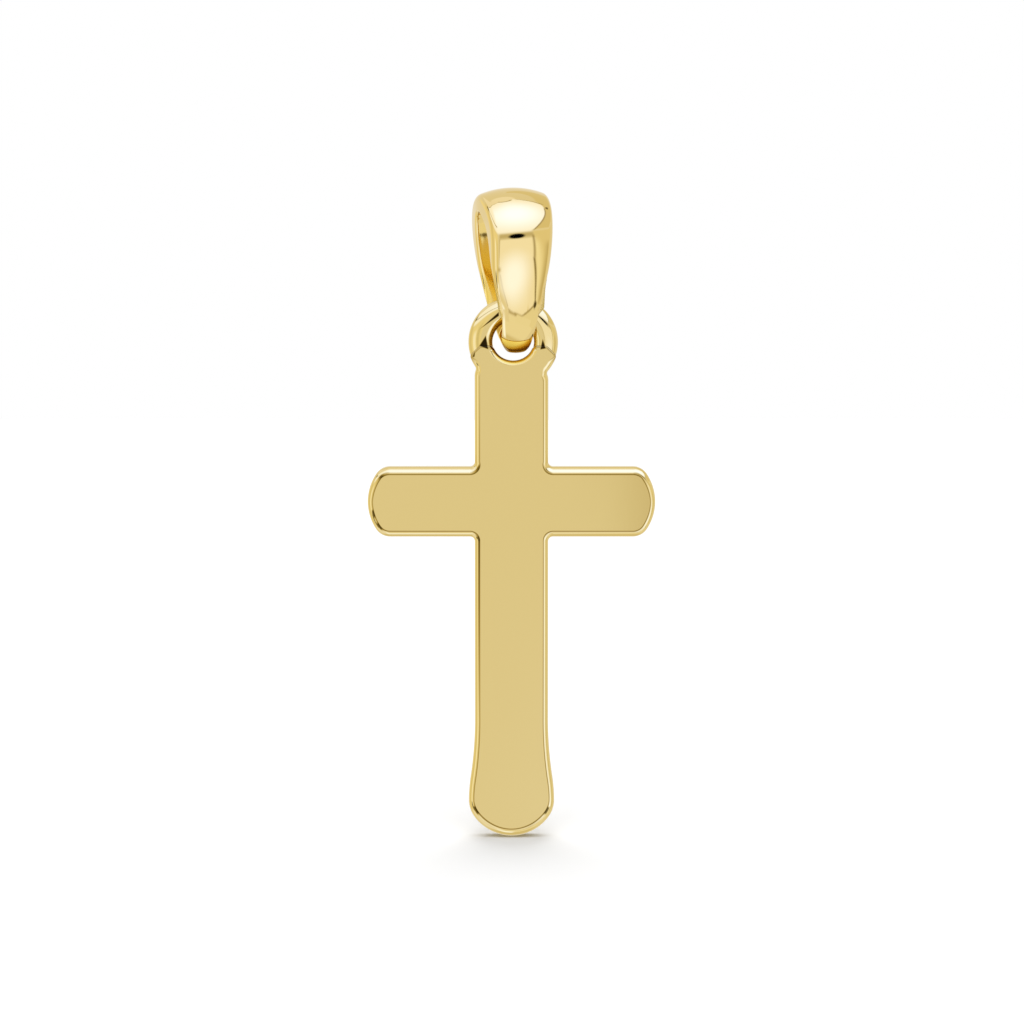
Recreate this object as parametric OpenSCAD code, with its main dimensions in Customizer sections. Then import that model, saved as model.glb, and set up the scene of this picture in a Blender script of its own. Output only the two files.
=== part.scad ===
// Plain polished cross pendant with a cast eye, hanging on a tapered loop bail.
// Millimetres, +Z up. The polished face looks along -Y.
// The origin is the chain seat: the highest point of the hollow inside the bail.

/* [Cross] */
// Width across both arms
arm_span = 11.94; // [9:0.01:15]
// Height of an arm
arm_h = 2.92; // [2:0.01:3.6]
// Radius of the round end of an arm
arm_end_r = 2.08; // [1.9:0.01:4]
// Radius of the soft corner where an arm's end meets its long edges
arm_corner_r = 0.45; // [0.3:0.01:0.6]
// Width of the stem
stem_w = 3.05; // [2.4:0.01:3.3]
// Thickness of the plate
cross_t = 1.2; // [1:0.01:1.6]
// Length from the middle of the eye down to the middle of the arms
head_l = 6.62; // [5:0.01:9]
// Length from the middle of the arms down to the tip of the foot
foot_l = 14.06; // [10:0.01:18]
// Widest part of the flared foot
foot_w = 3.57; // [3.35:0.01:3.7]
// Radius of the round bottom of the foot
foot_r = 1.9; // [1.87:0.01:3]
// Radius of the foot's shoulders, where it is widest
shoulder_r = 1.25; // [0.6:0.01:1.4]
// Length over which the stem flares into the foot
flare_l = 3.5; // [2:0.01:5]
// Radius of the inner corners between stem and arms
crotch_r = 0.2; // [0.1:0.01:0.5]
// Rounding of the plate's edges, front and back
edge_r = 0.2; // [0.1:0.01:0.25]

/* [Eye] */
// Clear width of the hole in the eye
eye_bore = 1.71; // [1.5:0.01:2.2]
// Width of the eye's ring, from its hole to its outside
eye_wire = 1.0; // [0.8:0.01:1.1]
// Thickness of the eye's ring, front to back
eye_deep = 0.94; // [0.8:0.01:1.1]
// How far the eye sits to the right of the stem's middle line
eye_x = 0.07; // [0:0.01:0.12]
// Rounding of the hole's edges
bore_edge_r = 0.3; // [0.1:0.01:0.34]
// Rounding of the eye's outer edges
rim_r = 0.36; // [0.2:0.01:0.38]
// Radius of the plate's two top corners beside the hole
horn_r = 0.35; // [0.3:0.01:0.5]
// Radius of the notch between the eye and the stem
neck_r = 0.15; // [0.08:0.01:0.3]
// Depth of that notch in the stem's side
neck_in = 0.05; // [0:0.01:0.1]

/* [Bail] */
// Clear height inside the bail, from the chain seat to the bar that carries the eye
bail_in_h = 4.85; // [4:0.01:6.5]
// Clear depth inside the bail, front to back
bail_in_d = 2.4; // [2.3:0.01:3]
// Wall of the bail's legs
leg_t = 0.58; // [0.45:0.01:0.8]
// Wall of the crown over the chain seat
crown_t = 0.83; // [0.7:0.01:1.2]
// Width of the band at the crown
crown_w = 2.98; // [2.4:0.01:3.4]
// Width of the band where it turns under the eye
knee_w = 1.5; // [1.2:0.01:1.8]
// Turn of the bail about its upright axis, seen from above
bail_turn = 17; // [0:0.5:20]
// Lean of the bail's lower end to the right
bail_lean = 2; // [0:0.1:2.5]

/* [Fits] */
// Gap between the bail's bar and the eye's ring that hangs on it
hang_gap = 0.18; // [0.05:0.01:0.2]
// Gap between the bail's bar and each side of the eye's hole
side_play = 0.3; // [0.2:0.01:0.4]
// Gap between the underside of the bail and the lower edge of the eye's hole
under_play = 0.39; // [0.2:0.01:0.5]
// Extra radius of the bar's hollow around the eye's ring
seat_play = 0.25; // [0.1:0.01:0.3]
// How far the cross hangs behind the middle of the bail
hang_y = 0.05; // [0:0.01:0.1]

/* [Hidden] */

// The plate laps over the eye's ring by this much wherever their surfaces would only touch
lap = 0.02;

// Bail: clear and outer heights of its side outline
bar_t = eye_bore - hang_gap - under_play;
in_b = bail_in_h / 2;
out_b = (crown_t + bail_in_h + bar_t) / 2;
out_z = crown_t - out_b;
// Bail: half depths at mid height and the taper from crown to bar, clear and outer
seat_r = eye_deep / 2 + seat_play;
in_a = bail_in_d / 2;
in_k = 1 - sqrt(seat_r * in_b) / in_a;
out_a = in_a + leg_t;
out_k = 0.3;
// Bail: width of the bar
bar_w = eye_bore - 2 * side_play;
// Bail: bend of the outer face, of the hollow inner one and of the crowned seat, each as the
// share of the band's width in its radius
dome_share = 0.78;
hollow_share = 0.48;
seat_share = 1.6;
// Bail: edge rounding, outer and inner as shares of the leg's wall, at the seat of the bar
outer_edge_share = 0.517;
inner_edge_share = 0.207;
seat_edge_share = 0.25;
// Bail: how far down the loop the seat's shape is complete, 1 for the very bottom
seat_reach = 0.75;
// Bail: how much narrower the band's inner face is than its outer one at the seat
seat_taper = 0.72;
// Bail: the underside starts this far round from the bottom, over the ramp's angle, and
// stands in from the legs by a share of their depth
lip_angle = 31.5;
lip_ramp = 1;
lip_step = 0.12;
// Bail: steps round the loop, above the lips and under them
shell_steps = 60;
under_steps = 12;

// Eye: rings and places
eye_r = (eye_bore + eye_wire) / 2;
eye_out_r = eye_bore / 2 + eye_wire;
head_r = eye_out_r + lap;
collar_r = 0.26 * stem_w;
eye_z = -bail_in_h + hang_gap + eye_wire / 2 - eye_r;
arm_z = eye_z - head_l;
foot_z = arm_z - foot_l;

// Foot: shoulder height, and the two arcs of the flare
shoulder_x = foot_w / 2 - shoulder_r;
shoulder_z = foot_z + foot_r - sqrt(pow(foot_r - shoulder_r, 2) - pow(shoulder_x, 2));
flare_d = (foot_w - stem_w) / 2;
flare_a = 2 * atan(flare_d / flare_l);
flare_sum = flare_l / sin(flare_a);
flare_hollow_r = 0.72 * flare_sum;
flare_round_r = flare_sum - flare_hollow_r;

// Steps of the plate's rounded edge
edge_steps = 4;

// Points [x, z, normal x, normal z] on an arc; side is 1 on a round corner, -1 in a hollow one
function arc(cx, cz, r, a0, a1, n, side) =
    [for (i = [0 : n]) let (a = a0 + (a1 - a0) * i / n, c = cos(a), s = sin(a))
        [cx + r * c, cz + r * s, side * c, side * s]];

// One side of the plate above the arm, from its top corner down; the eye's middle is at x = ex
function head_side(ex) =
    let (
        horn_dx = sqrt(pow(head_r - horn_r, 2) - pow(horn_r, 2)),
        horn_a = atan2(-horn_r, horn_dx),
        neck_dx = stem_w / 2 - neck_in + neck_r - ex,
        neck_dz = -sqrt(pow(head_r + neck_r, 2) - pow(neck_dx, 2)),
        neck_a = atan2(neck_dz, neck_dx),
        both_r = neck_r + collar_r,
        collar_a = acos(1 - neck_in / both_r)
    )
    concat(
        arc(ex + horn_dx, eye_z - horn_r, horn_r, 90, horn_a, 6, 1),
        arc(ex, eye_z, head_r, horn_a - 4, neck_a + 4, 4, 1),
        arc(ex + neck_dx, eye_z + neck_dz, neck_r, neck_a + 180, 180 + collar_a / 2, 4, -1),
        arc(stem_w / 2 - collar_r, eye_z + neck_dz - both_r * sin(collar_a), collar_r,
            collar_a / 2, 0, 2, 1),
        arc(stem_w / 2 + crotch_r, arm_z + arm_h / 2 + crotch_r, crotch_r, 180, 270, 5, -1)
    );

// The round end of an arm, from its upper corner to its lower one
function arm_side() =
    let (
        end_x = arm_span / 2 - arm_end_r,
        corner_dz = arm_h / 2 - arm_corner_r,
        corner_dx = sqrt(pow(arm_end_r - arm_corner_r, 2) - pow(corner_dz, 2)),
        corner_a = atan2(corner_dz, corner_dx)
    )
    concat(
        arc(end_x + corner_dx, arm_z + corner_dz, arm_corner_r, 90, corner_a, 5, 1),
        arc(end_x, arm_z, arm_end_r, corner_a - 5, 5 - corner_a, 10, 1),
        arc(end_x + corner_dx, arm_z - corner_dz, arm_corner_r, -corner_a, -90, 5, 1)
    );

// One side of the plate below the arm, down to just before the tip
function foot_side() =
    let (tip_a = atan2(shoulder_z - foot_z - foot_r, shoulder_x))
    concat(
        arc(stem_w / 2 + crotch_r, arm_z - arm_h / 2 - crotch_r, crotch_r, 90, 180, 5, -1),
        arc(stem_w / 2 + flare_hollow_r, shoulder_z + flare_l, flare_hollow_r,
            180, 180 + flare_a, 5, -1),
        arc(foot_w / 2 - flare_round_r, shoulder_z, flare_round_r, 0.7 * flare_a, 0, 3, 1),
        arc(shoulder_x, shoulder_z, shoulder_r, -8, tip_a, 5, 1),
        arc(0, foot_z + foot_r, foot_r, tip_a - 6, -84, 6, 1)
    );

function cross_side(ex) = concat(head_side(ex), arm_side(), foot_side());

function mirrored(points) =
    [for (i = [len(points) - 1 : -1 : 0]) let (p = points[i]) [-p[0], p[1], -p[2], p[3]]];

outline = concat(cross_side(eye_x), [[0, foot_z, 0, -1]], mirrored(cross_side(-eye_x)));

// The outline drawn in by d, at depth y
function inset(d, y) = [for (p = outline) [p[0] - d * p[2], y, p[1] - d * p[3]]];

// Half of the edge rounding: steps from the side wall to the face, as [inset, depth]
function edge(sign) =
    [for (i = [0 : edge_steps]) let (a = 90 * i / edge_steps)
        [edge_r * (1 - cos(a)), sign * (cross_t / 2 - edge_r * (1 - sin(a)))]];

function reversed(list) = [for (i = [len(list) - 1 : -1 : 0]) list[i]];

// Flat cross with rounded edges, lofted from the back face to the front. Each face is a
// ladder down the stem, whose rungs join the two sides, and a fan in each arm.
module plate() {
    levels = concat(reversed(edge(1)), edge(-1));
    n = len(outline);
    side = (n - 1) / 2;
    arm_0 = len(head_side(eye_x)) - 1;
    arm_1 = arm_0 + len(arm_side()) + 1;
    rungs = [for (i = [0 : side - 1]) if (i <= arm_0 || i >= arm_1) i];
    ladder = [for (k = [0 : len(rungs) - 2]) let (i = rungs[k], j = rungs[k + 1])
        [i, j, n - 1 - j, n - 1 - i]];
    arm = [for (i = [arm_0 : arm_1]) i];
    other_arm = [for (i = reversed(arm)) n - 1 - i];
    face = concat(ladder, [[side - 1, side, side + 1]], [arm, other_arm]);
    front = (len(levels) - 1) * n;
    polyhedron(
        points = [for (l = levels) each inset(l[0], l[1])],
        faces = concat(
            [for (f = face) reversed(f)],
            [for (f = face) [for (i = f) front + i]],
            [for (k = [0 : len(levels) - 2]) for (i = [0 : n - 1]) let (j = (i + 1) % n)
                [k * n + i, k * n + j, (k + 1) * n + j, (k + 1) * n + i]]
        )
    );
}

// Turns a shape about the eye's through axis, which runs front to back
module at_eye() {
    translate([eye_x, 0, eye_z]) rotate([90, 0, 0]) children();
}

// What is taken out of the plate: a hole with rounded edges
module bore_cut() {
    r = eye_bore / 2 - lap;
    wall = cross_t - 2 * bore_edge_r;
    at_eye() rotate_extrude($fn = 48) difference() {
        translate([0, -cross_t]) square([r + bore_edge_r, 2 * cross_t]);
        translate([r, -wall / 2]) square([2 * bore_edge_r, wall]);
        for (side = [-1, 1])
            translate([r + bore_edge_r, side * wall / 2]) circle(bore_edge_r, $fn = 24);
    }
}

// The eye: a round ring with an oblong section, whose four edges are rounded
module eye_ring() {
    in_r = eye_bore / 2;
    d = eye_deep / 2;
    at_eye() rotate_extrude($fn = 64) {
        translate([in_r + bore_edge_r, -d]) square([eye_wire - bore_edge_r - rim_r, 2 * d]);
        translate([in_r, bore_edge_r - d]) square([2 * bore_edge_r, 2 * (d - bore_edge_r)]);
        translate([eye_out_r - 2 * rim_r, rim_r - d]) square([2 * rim_r, 2 * (d - rim_r)]);
        for (side = [-1, 1]) {
            translate([in_r + bore_edge_r, side * (d - bore_edge_r)]) circle(bore_edge_r, $fn = 20);
            translate([eye_out_r - rim_r, side * (d - rim_r)]) circle(rim_r, $fn = 20);
        }
    }
}

// Egg-shaped side outline: half depth a, half height b, taper k towards the bottom
function egg(a, b, k, z0, t) = [a * cos(t) * (1 + k * sin(t)), z0 + b * sin(t)];

// How far an arc of the given bend has come down at x from its middle
function sag(bend, x) = x * tan(asin(bend * x) / 2);

// One face of a band section, from x = -1 to 1 side: an edge arc, the bent face between the
// edges and the other edge arc, as [across, depth under the face's middle]
function band_face(half, bend, r, edge_n, face_n) =
    let (
        flat = half - r,
        meet_x = flat / (1 - bend * r),
        a = asin(bend * meet_x),
        mid_q = r + tan(a / 2) * flat
    )
    concat(
        [for (i = [0 : edge_n]) let (e = 90 - (90 - a) * i / edge_n)
            [-flat - r * sin(e), mid_q - r * cos(e)]],
        [for (i = [1 : face_n - 1]) let (x = meet_x * (2 * i / face_n - 1)) [x, sag(bend, x)]],
        [for (i = [0 : edge_n]) let (e = a + (90 - a) * i / edge_n)
            [flat + r * sin(e), mid_q - r * cos(e)]]
    );

// One section of the band at angle t round the loop; under is 1 past the lips, else 0. The
// outer face is domed, and the inner one is hollow at the crown and crowned at the seat.
function bail_section(t, under) =
    let (
        inner = egg(in_a, in_b, in_k, -in_b, t),
        far = egg(out_a, out_b, out_k, out_z, t),
        outer = [far[0] * (1 - under * lip_step), far[1]],
        wall = norm(outer - inner),
        drop = (1 - sin(t)) / 2,
        low = pow(drop, 5),
        at_seat = pow(min(1, drop / seat_reach), 4),
        half = (crown_w - (crown_w - knee_w) * drop - (knee_w - bar_w) * pow(drop, 8)) / 2,
        dome = dome_share * (1 / crown_w + (1 / bar_w - 1 / crown_w) * low),
        seat = (seat_share * at_seat - hollow_share * (1 - at_seat)) / (2 * half),
        seat_edge = seat_edge_share * bar_w,
        leg_edge = inner_edge_share * leg_t,
        top = band_face(half, dome, outer_edge_share * leg_t, 4, 4),
        bottom = reversed(band_face(half, seat, leg_edge + (seat_edge - leg_edge) * at_seat, 3, 4)),
        section = concat(
            [for (p = top) [p[0], 1 - p[1] / wall]],
            [for (p = bottom) [p[0], p[1] / wall]]
        )
    )
    [for (p = section) let (
        q = inner + p[1] * (outer - inner),
        slim = 1 - seat_taper * pow(at_seat, 3) * (1 - p[1])
    ) [p[0] * slim, q[0], q[1]]];

module bail_loop() {
    shell = [for (i = [0 : shell_steps])
        bail_section(lip_angle - 90 + (360 - 2 * lip_angle) * i / shell_steps, 0)];
    below = lip_angle - lip_ramp;
    keel = [for (i = [0 : under_steps])
        bail_section(270 - below + 2 * below * i / under_steps, 1)];
    rings = concat(shell, keel);
    n = len(rings);
    m = len(rings[0]);
    polyhedron(
        points = [for (r = rings) each r],
        faces = [for (i = [0 : n - 1]) for (j = [0 : m - 1])
            let (i2 = (i + 1) % n, j2 = (j + 1) % m)
            each [[i * m + j, i * m + j2, i2 * m + j2], [i * m + j, i2 * m + j2, i2 * m + j]]]
    );
}

// The loop that the chain runs through
module bail() {
    color([0.92, 0.8, 0.5]) rotate([0, -bail_lean, 0]) rotate([0, 0, bail_turn]) bail_loop();
}

// Plate and eye, cast in one
module cross() {
    color([0.86, 0.76, 0.5]) translate([0, hang_y, 0]) union() {
        difference() {
            plate();
            bore_cut();
        }
        eye_ring();
    }
}

bail();
cross();
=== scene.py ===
"""Looks of the polished gold cross pendant: the bail, the cross with its cast eye, and the studio."""

import logging
import math
from dataclasses import dataclass
from enum import Enum

import bmesh
import bpy
import numpy as np
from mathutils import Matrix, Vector

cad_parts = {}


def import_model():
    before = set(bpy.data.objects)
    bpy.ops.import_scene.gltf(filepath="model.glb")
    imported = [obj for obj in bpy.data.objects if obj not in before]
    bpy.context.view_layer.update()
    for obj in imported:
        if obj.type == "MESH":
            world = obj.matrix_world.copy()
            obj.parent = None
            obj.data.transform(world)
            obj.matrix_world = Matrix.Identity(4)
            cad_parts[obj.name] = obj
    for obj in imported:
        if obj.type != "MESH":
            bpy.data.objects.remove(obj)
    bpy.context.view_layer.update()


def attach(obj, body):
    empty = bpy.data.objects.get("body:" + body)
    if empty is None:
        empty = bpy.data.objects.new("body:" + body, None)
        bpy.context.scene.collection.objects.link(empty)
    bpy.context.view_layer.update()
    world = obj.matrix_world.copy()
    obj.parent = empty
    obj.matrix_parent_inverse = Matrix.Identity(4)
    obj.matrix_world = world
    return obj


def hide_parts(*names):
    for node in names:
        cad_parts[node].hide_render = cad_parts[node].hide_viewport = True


MM = 0.001
SAME_PLACE_MM = 1e-3
MARK_STRETCH = (1.0, 1.0, 0.12)
MARK_DETAIL = 3.0
WAVE_DETAIL = 1.0
HAZE_SPAN = (0.35, 0.7)
RIPPLE_WANDER = 1.2
RIPPLE_WANDER_SCALE = 2.0
# painted shade: how fast the painted darkness turns the gold to the brown shade colour
BROWN_GAIN = 2.0
PANEL_KEYS = (
    "Azimuth",
    "Elevation",
    "Middle Azimuth",
    "Half Width",
    "Middle Elevation",
    "Half Height",
    "Edge",
    "Slant",
    "Oval",
)
LOG = logging.getLogger("pendant")

Colour = tuple[float, float, float]
Point = tuple[float, float]
Span = tuple[float, float]


class Material(Enum):
    """The record's material slots."""

    BAIL = "bail_gold"
    CROSS = "cross_gold"


class Mark(Enum):
    """Point attributes: the first two are for the finishes, and the last is a point's own number."""

    # share inside the loop: it paints a deeper gold that stands in for light bounced between the gold
    # faces, and sets the satin and ripples there
    INSIDE = "inside"
    # painted darkness: painted shade and dark reflections
    PAINTED_DARK = "painted_dark"
    NUMBER = "number"


# Surfaces


def arc(middle: Point, r: float, sweep: Span, steps: int, side: int = 1) -> np.ndarray:
    """Points on a circle with the outline's normal: middle plus r times (cos, sin) of the angle.

    Args:
        middle: The circle's middle, x and z.
        r: Radius.
        sweep: First and last angle in degrees.
        steps: Number of steps between them.
        side: 1 on a round corner, -1 in a hollow one.

    Returns:
        Rows of x, z, normal x, normal z.
    """
    t = np.radians(np.linspace(*sweep, steps + 1))
    c, s = np.cos(t), np.sin(t)
    return np.stack([middle[0] + r * c, middle[1] + r * s, side * c, side * s], axis=1)


def mirrored(rows: np.ndarray) -> np.ndarray:
    """The outline's other side: the rows in reverse with x and normal x negated."""
    return rows[::-1] * np.array([-1.0, 1.0, -1.0, 1.0])


def grid_quads(rows: int, columns: int, closed_rows: bool) -> np.ndarray:
    """Corner numbers of the quads on a grid whose columns always close.

    Args:
        rows: Number of rows of points.
        columns: Number of points in a row.
        closed_rows: True where the last row joins the first.

    Returns:
        One row of four corner numbers a quad.
    """
    i = np.arange(rows if closed_rows else rows - 1)[:, None]
    j = np.arange(columns)[None, :]
    i2, j2 = (i + 1) % rows, (j + 1) % columns
    corners = [i * columns + j, i2 * columns + j, i2 * columns + j2, i * columns + j2]
    return np.stack(corners, axis=-1).reshape(-1, 4)


def smooth_step(value: np.ndarray, low: float, high: float) -> np.ndarray:
    """0 below low, 1 above high and a smooth cubic between them."""
    t = np.clip((value - low) / (high - low), 0.0, 1.0)
    return t * t * (3.0 - 2.0 * t)


def ellipse_normals(t: np.ndarray, wide: float, tall: float) -> np.ndarray:
    """An ellipse's normals at the angles t: (cos t / wide, sin t / tall), made one long."""
    normal = np.stack([np.cos(t) / wide, np.sin(t) / tall], axis=1)
    return normal / np.linalg.norm(normal, axis=1)[:, None]


def egg(t: np.ndarray, half_depth: float, half_height: float, taper: float, middle: float) -> np.ndarray:
    """Egg-shaped outline: y is half_depth cos t (1 + taper sin t), z is middle + half_height sin t.

    Args:
        t: Angles in radians.
        half_depth: Half of its depth at mid height.
        half_height: Half of its height.
        taper: How much wider it is at the top.
        middle: Height of its middle.

    Returns:
        Rows of y and z.
    """
    y = half_depth * np.cos(t) * (1.0 + taper * np.sin(t))
    return np.stack([y, middle + half_height * np.sin(t)], axis=-1)


def turn_matrix(about_z: float, about_y: float) -> np.ndarray:
    """The matrix of a turn about Z, [c -s 0, s c 0, 0 0 1], and after it one about Y.

    Args:
        about_z: First turn in degrees.
        about_y: Second turn in degrees.

    Returns:
        Three rows of three numbers.
    """
    cz, sz = math.cos(math.radians(about_z)), math.sin(math.radians(about_z))
    cy, sy = math.cos(math.radians(about_y)), math.sin(math.radians(about_y))
    z = np.array([[cz, -sz, 0.0], [sz, cz, 0.0], [0.0, 0.0, 1.0]])
    y = np.array([[cy, 0.0, sy], [0.0, 1.0, 0.0], [-sy, 0.0, cy]])
    return y @ z


def mesh_object(name: str, points: np.ndarray, faces: list) -> bpy.types.Object:
    """A smooth-shaded mesh object at the origin, its faces turned outwards.

    Args:
        name: The piece's name.
        points: Rows of x, y, z in millimetres.
        faces: Lists of corner numbers.

    Returns:
        The object, linked to the scene.
    """
    mesh = bpy.data.meshes.new(name)
    mesh.from_pydata((points * MM).tolist(), [], faces)
    tidy = bmesh.new()
    tidy.from_mesh(mesh)
    bmesh.ops.recalc_face_normals(tidy, faces=tidy.faces)
    tidy.to_mesh(mesh)
    tidy.free()
    mesh.polygons.foreach_set("use_smooth", np.ones(len(mesh.polygons), bool))
    mesh.update()
    made = bpy.data.objects.new(name, mesh)
    bpy.context.scene.collection.objects.link(made)
    return made


def mark_points(obj: bpy.types.Object, mark: Mark, values: np.ndarray) -> None:
    """Keeps one number for each point of the mesh, for the finish to read.

    Args:
        obj: The piece.
        mark: Which attribute it is.
        values: One number a point, from 0 to 1.
    """
    layer = obj.data.attributes.new(mark.value, "FLOAT", "POINT")
    layer.data.foreach_set("value", values.astype(np.float32))


def take_marks(obj: bpy.types.Object, mark: Mark) -> np.ndarray:
    """Takes an attribute off the mesh.

    Args:
        obj: The piece.
        mark: Which attribute it is.

    Returns:
        Its number for each point.
    """
    layer = obj.data.attributes[mark.value]
    values = np.zeros(len(obj.data.vertices), np.float32)
    layer.data.foreach_get("value", values)
    obj.data.attributes.remove(layer)
    return values


def point_table(obj: bpy.types.Object) -> np.ndarray:
    """Reads the mesh's points.

    Args:
        obj: The piece.

    Returns:
        Rows of x, y, z in millimetres.
    """
    flat = np.zeros(len(obj.data.vertices) * 3, np.float32)
    obj.data.vertices.foreach_get("co", flat)
    return flat.reshape(-1, 3).astype(float) / MM


# Shader nodes


class NodeBoard:
    """Places and links the nodes of one node tree."""

    def __init__(self, tree: bpy.types.NodeTree) -> None:
        """Starts on an empty tree."""
        self.tree = tree
        self.tree.nodes.clear()

    def node(self, kind: str, **settings: object) -> bpy.types.Node:
        """Adds a node and sets its properties.

        Args:
            kind: Blender's name of the node type.
            settings: Properties of the node.

        Returns:
            The new node.
        """
        made = self.tree.nodes.new(kind)
        for key, value in settings.items():
            setattr(made, key, value)
        return made

    def feed(self, socket: bpy.types.NodeSocket, value: object) -> None:
        """Links an output to the socket, or sets a plain value on it.

        Args:
            socket: The input to feed.
            value: Another node's output, or a number or colour.
        """
        if isinstance(value, bpy.types.NodeSocket):
            self.tree.links.new(value, socket)
        else:
            socket.default_value = value

    def math(self, operation: str, *values: object, clamp: bool = False) -> bpy.types.NodeSocket:
        """A Math node.

        Args:
            operation: Its operation.
            values: Its inputs, outputs of other nodes or numbers.
            clamp: True to hold the result between 0 and 1.

        Returns:
            Its output.
        """
        made = self.node("ShaderNodeMath", operation=operation, use_clamp=clamp)
        for socket, value in zip(made.inputs, values):
            self.feed(socket, value)
        return made.outputs[0]

    def remap(self, value: object, low: float, high: float) -> bpy.types.NodeSocket:
        """Spreads a range smoothly over 0 to 1, and holds it beyond.

        Args:
            value: The value to spread.
            low: Where it gives 0.
            high: Where it gives 1.

        Returns:
            The spread value.
        """
        made = self.node("ShaderNodeMapRange", interpolation_type="SMOOTHSTEP")
        for key, item in (("Value", value), ("From Min", low), ("From Max", high)):
            self.feed(made.inputs[key], item)
        return made.outputs["Result"]

    def mix(self, share: object, first: object, second: object) -> bpy.types.NodeSocket:
        """Mixes two colours.

        Args:
            share: Share of the second colour.
            first: First colour.
            second: Second colour.

        Returns:
            The mixed colour.
        """
        made = self.node("ShaderNodeMix", data_type="RGBA")
        self.feed(made.inputs["Factor"], share)
        for key, value in (("A", first), ("B", second)):
            socket = next(s for s in made.inputs if s.name == key and s.type == "RGBA")
            self.feed(socket, value if isinstance(value, bpy.types.NodeSocket) else (*value, 1.0))
        return next(s for s in made.outputs if s.type == "RGBA")

    def group(self, tree: bpy.types.NodeTree, values: dict[str, object]) -> bpy.types.Node:
        """Places a node group.

        Args:
            tree: The group.
            values: What to feed to each named input.

        Returns:
            The group's node.
        """
        made = self.node("ShaderNodeGroup", node_tree=tree)
        for key, value in values.items():
            self.feed(made.inputs[key], value)
        return made

    def noise(self, place: object, scale: object, detail: float) -> bpy.types.NodeSocket:
        """A noise texture.

        Args:
            place: Where it is read.
            scale: Waves a metre.
            detail: Number of finer layers.

        Returns:
            Its value.
        """
        made = self.node("ShaderNodeTexNoise", noise_dimensions="3D")
        for key, value in (("Vector", place), ("Scale", scale), ("Detail", detail)):
            self.feed(made.inputs[key], value)
        return made.outputs["Fac"]


MaterialParts = tuple[bpy.types.Material, NodeBoard, bpy.types.Node]


def new_material(name: str) -> MaterialParts:
    """A material of one Principled shader.

    Args:
        name: The material's name.

    Returns:
        The material, its board and its shader.
    """
    made = bpy.data.materials.new(name)
    made.use_nodes = True
    board = NodeBoard(made.node_tree)
    shader, out = board.node("ShaderNodeBsdfPrincipled"), board.node("ShaderNodeOutputMaterial")
    board.feed(out.inputs["Surface"], shader.outputs["BSDF"])
    return made, board, shader


GroupParts = tuple[bpy.types.NodeTree, NodeBoard, bpy.types.Node, bpy.types.Node]


def new_group(name: str, inputs: dict[str, float], outputs: tuple[str, ...]) -> GroupParts:
    """An empty shader node group with named number sockets.

    Args:
        name: The group's name.
        inputs: Each input's name and first value.
        outputs: Names of the outputs.

    Returns:
        The tree, its board, and its input and output nodes.
    """
    tree = bpy.data.node_groups.new(name, "ShaderNodeTree")
    for key, value in inputs.items():
        socket = tree.interface.new_socket(name=key, in_out="INPUT", socket_type="NodeSocketFloat")
        socket.default_value = value
    for key in outputs:
        tree.interface.new_socket(name=key, in_out="OUTPUT", socket_type="NodeSocketFloat")
    board = NodeBoard(tree)
    return tree, board, board.node("NodeGroupInput"), board.node("NodeGroupOutput")


def polish_group() -> bpy.types.NodeTree:
    """Fine upright marks of the polishing wheel and the slight waviness under them.

    Returns:
        A group with Marks per Metre, Wave per Metre and Marks in, Height and Haze out.
    """
    tree, board, given, out = new_group(
        "polish", {"Marks per Metre": 9000.0, "Wave per Metre": 500.0, "Marks": 0.3}, ("Height", "Haze")
    )
    place = board.node("ShaderNodeTexCoord").outputs["Object"]
    stretch = board.node("ShaderNodeMapping", vector_type="POINT")
    stretch.inputs["Scale"].default_value = MARK_STRETCH
    board.feed(stretch.inputs["Vector"], place)
    marks = board.noise(stretch.outputs["Vector"], given.outputs["Marks per Metre"], MARK_DETAIL)
    wave = board.noise(place, given.outputs["Wave per Metre"], WAVE_DETAIL)
    marked = board.math("MULTIPLY", marks, given.outputs["Marks"])
    board.feed(out.inputs["Height"], board.math("ADD", marked, wave))
    board.feed(out.inputs["Haze"], board.remap(wave, *HAZE_SPAN))
    return tree


def recess_group() -> bpy.types.NodeTree:
    """The painted darkness, which stands in for shade and dark reflections, and how far inside the loop a
    place lies, read from the mesh's point marks.

    Returns:
        A group with the painted darkness and Inside out.
    """
    tree, board, _, out = new_group("recess", {}, ("PaintedDark", "Inside"))
    for key, mark in (("PaintedDark", Mark.PAINTED_DARK), ("Inside", Mark.INSIDE)):
        read = board.node("ShaderNodeAttribute", attribute_name=mark.value)
        board.feed(out.inputs[key], read.outputs["Fac"])
    return tree


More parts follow.
